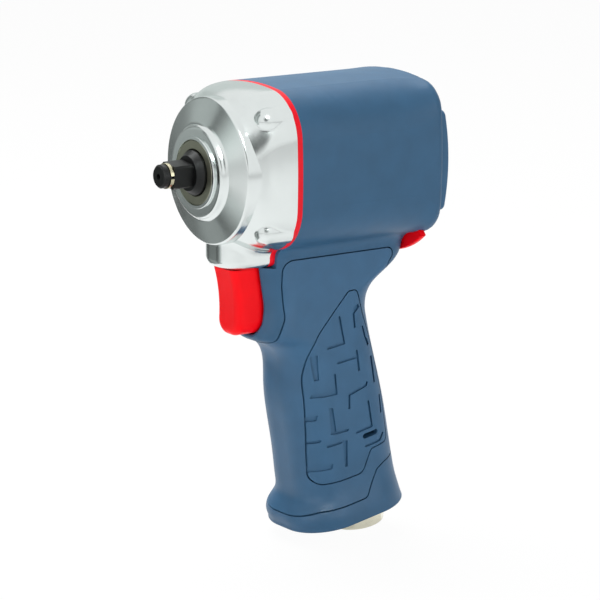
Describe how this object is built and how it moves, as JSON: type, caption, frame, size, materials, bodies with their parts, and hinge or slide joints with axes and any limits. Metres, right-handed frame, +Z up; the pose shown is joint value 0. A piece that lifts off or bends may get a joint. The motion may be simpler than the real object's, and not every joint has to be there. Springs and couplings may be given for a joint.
{
  "type": "air impact wrench",
  "caption": "Stubby pistol-grip air impact wrench with a square drive, polished hammer case, trigger, reverse lever, swinging-hammer mechanism, vane motor and threaded air inlet.",
  "frame": {"origin": "on the drive axis, at the shoulder of the square drive", "axes": "+X forward along the drive axis, +Y to the tool's left, +Z up, away from the handle"},
  "size_m": [0.1235, 0.0684, 0.196],
  "materials": {
    "polished_case": "polished casting",
    "gasket_red": "satin sheet",
    "housing_blue": "fine moulded grain",
    "grip_blue": "soft moulded skin",
    "cap_blue": "fine moulded grain",
    "control_red": "glossy moulding",
    "screw_steel": "black oxide",
    "nickel": "nickel plate",
    "anvil_black": "black phosphate",
    "ring_brass": "bright wire",
    "bronze": "turned bronze",
    "tool_steel": "ground",
    "cast_iron": "machined",
    "plate_aluminium": "machined",
    "bearing_steel": "polished",
    "vane_brown": "laminate",
    "seal_black": "matt",
    "felt_grey": "pressed felt",
    "valve_plastic": "moulded"
  },
  "bodies": {
    "tool_body": {"hammer_case": "polished_case", "case_gasket": "gasket_red", "motor_housing": "housing_blue", "grip_overmold": "grip_blue", "grip_pad_left": "grip_blue", "grip_pad_right": "grip_blue", "handle_cap": "cap_blue", "rear_cover": "cap_blue", "case_screws": "screw_steel", "inlet_bushing": "nickel", "anvil_bushing": "bronze", "front_end_plate": "plate_aluminium", "rear_end_plate": "plate_aluminium", "cylinder": "cast_iron", "cylinder_dowel": "tool_steel", "motor_circlip": "screw_steel", "front_bearing_outer_race": "bearing_steel", "rear_bearing_outer_race": "bearing_steel", "valve_seat": "bronze", "throttle_spring": "tool_steel", "trigger_bushing": "bronze", "inlet_screen": "bronze", "inlet_seal": "seal_black", "exhaust_muffler": "felt_grey", "detent_ball": "bearing_steel", "detent_spring": "tool_steel"},
    "anvil": {"anvil": "anvil_black", "socket_retainer_ring": "ring_brass", "retainer_o_ring": "seal_black"},
    "rotor": {"rotor": "tool_steel", "vanes": "vane_brown", "hammer_frame": "tool_steel", "hammer_pins": "tool_steel", "front_bearing_inner_race": "bearing_steel", "rear_bearing_inner_race": "bearing_steel"},
    "front_hammer": {"front_hammer": "tool_steel"},
    "rear_hammer": {"rear_hammer": "tool_steel"},
    "front_ball_set": {"front_bearing_balls": "bearing_steel"},
    "rear_ball_set": {"rear_bearing_balls": "bearing_steel"},
    "trigger": {"trigger": "control_red", "trigger_rod": "tool_steel"},
    "throttle_valve": {"throttle_valve": "tool_steel"},
    "reverse": {"reverse_lever": "control_red", "reverse_valve": "valve_plastic"}
  },
  "joints": [
    {"name": "anvil_spin", "type": "hinge", "parent": "tool_body", "child": "anvil", "pos_m": [0, 0, 0], "axis": [1, 0, 0], "continuous": true},
    {"name": "rotor_spin", "type": "hinge", "parent": "tool_body", "child": "rotor", "pos_m": [-0.075, 0, 0], "axis": [1, 0, 0], "continuous": true},
    {"name": "front_hammer_swing", "type": "hinge", "parent": "rotor", "child": "front_hammer", "pos_m": [-0.0227, 0, 0.0215], "axis": [1, 0, 0], "range_deg": [-5, 5]},
    {"name": "rear_hammer_swing", "type": "hinge", "parent": "rotor", "child": "rear_hammer", "pos_m": [-0.034, 0, -0.0215], "axis": [1, 0, 0], "range_deg": [-5, 5]},
    {"name": "front_balls_roll", "type": "hinge", "parent": "tool_body", "child": "front_ball_set", "pos_m": [-0.05285, 0, 0], "axis": [1, 0, 0], "continuous": true},
    {"name": "rear_balls_roll", "type": "hinge", "parent": "tool_body", "child": "rear_ball_set", "pos_m": [-0.09495, 0, 0], "axis": [1, 0, 0], "continuous": true},
    {"name": "trigger_slide", "type": "slide", "parent": "tool_body", "child": "trigger", "axis": [-1, 0, 0], "range_m": [0, 0.005], "stiffness_N_per_m": 1200, "springref_m": -0.003},
    {"name": "throttle_tilt", "type": "hinge", "parent": "tool_body", "child": "throttle_valve", "pos_m": [-0.06567, 0, -0.08632], "axis": [0, -1, 0], "range_deg": [0, 9.9], "deforming": ["throttle_spring"]},
    {"name": "reverse_turn", "type": "hinge", "parent": "tool_body", "child": "reverse", "pos_m": [-0.0996, 0, 0], "axis": [1, 0, 0], "range_deg": [-16, 0]}
  ],
  "couplings": [
    {"joint": "front_balls_roll", "follows": "rotor_spin", "ratio": 0.4},
    {"joint": "rear_balls_roll", "follows": "rotor_spin", "ratio": 0.4},
    {"joint": "throttle_tilt", "follows": "trigger_slide", "rad_per_m": 34.3}
  ]
}
